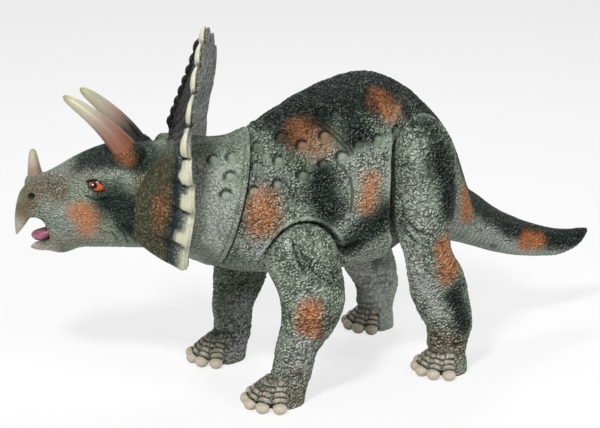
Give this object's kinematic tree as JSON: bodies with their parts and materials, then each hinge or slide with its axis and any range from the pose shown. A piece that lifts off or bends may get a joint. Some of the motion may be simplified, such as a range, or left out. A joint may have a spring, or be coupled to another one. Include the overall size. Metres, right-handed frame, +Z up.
{
  "type": "toy dinosaur figure",
  "caption": "Standing three-horned frilled dinosaur toy in hollow painted vinyl, with a turning head and swinging legs, for pretend play and display.",
  "frame": {"origin": "on the ground, under the middle of the figure's overall outline", "axes": "+Z up, -Y the way the body faces, +X to the figure's left"},
  "size_m": [0.1782, 0.496, 0.2868],
  "materials": {
    "skin_vinyl": "semi-gloss moulded scales with airbrushed dark green and orange patches",
    "frill_vinyl": "semi-gloss, dark brown front with cream edge points",
    "horn_vinyl": "semi-gloss cream, brownish root",
    "tongue_vinyl": "satin mauve",
    "eye_paint": "gloss orange with black pupil",
    "stud_plastic": "plain moulded"
  },
  "bodies": {
    "torso": {"torso_shell": "skin_vinyl", "tail_shell": "skin_vinyl", "neck_stud": "stud_plastic", "neck_retaining_ring": "stud_plastic", "shoulder_stud_left": "stud_plastic", "shoulder_retaining_ring_left": "stud_plastic", "shoulder_stud_right": "stud_plastic", "shoulder_retaining_ring_right": "stud_plastic", "hip_stud_left": "stud_plastic", "hip_retaining_ring_left": "stud_plastic", "hip_stud_right": "stud_plastic", "hip_retaining_ring_right": "stud_plastic"},
    "head": {"head_shell": "skin_vinyl", "frill": "frill_vinyl", "tongue": "tongue_vinyl", "nose_horn": "horn_vinyl", "brow_horn_left": "horn_vinyl", "brow_horn_right": "horn_vinyl", "eye_left": "eye_paint", "eye_right": "eye_paint"},
    "front_leg_left": {"front_leg_left": "skin_vinyl"},
    "front_leg_right": {"front_leg_right": "skin_vinyl"},
    "hind_leg_left": {"hind_leg_left": "skin_vinyl"},
    "hind_leg_right": {"hind_leg_right": "skin_vinyl"}
  },
  "joints": [
    {"name": "neck_turn", "type": "hinge", "parent": "torso", "child": "head", "pos_m": [0.00586, -0.10134, 0.15], "axis": [-0.2824, -0.9237, 0.2588], "range_deg": [-45, 45]},
    {"name": "shoulder_left_swing", "type": "hinge", "parent": "torso", "child": "front_leg_left", "pos_m": [0.04988, -0.06526, 0.1128], "axis": [1, 0, 0], "range_deg": [-30, 20]},
    {"name": "shoulder_right_swing", "type": "hinge", "parent": "torso", "child": "front_leg_right", "pos_m": [-0.03816, -0.06526, 0.1128], "axis": [1, 0, 0], "range_deg": [-30, 20]},
    {"name": "hip_left_swing", "type": "hinge", "parent": "torso", "child": "hind_leg_left", "pos_m": [0.05174, 0.04364, 0.1752], "axis": [1, 0, 0], "range_deg": [-5, 20]},
    {"name": "hip_right_swing", "type": "hinge", "parent": "torso", "child": "hind_leg_right", "pos_m": [-0.04002, 0.04364, 0.1752], "axis": [1, 0, 0], "range_deg": [-5, 20]}
  ]
}
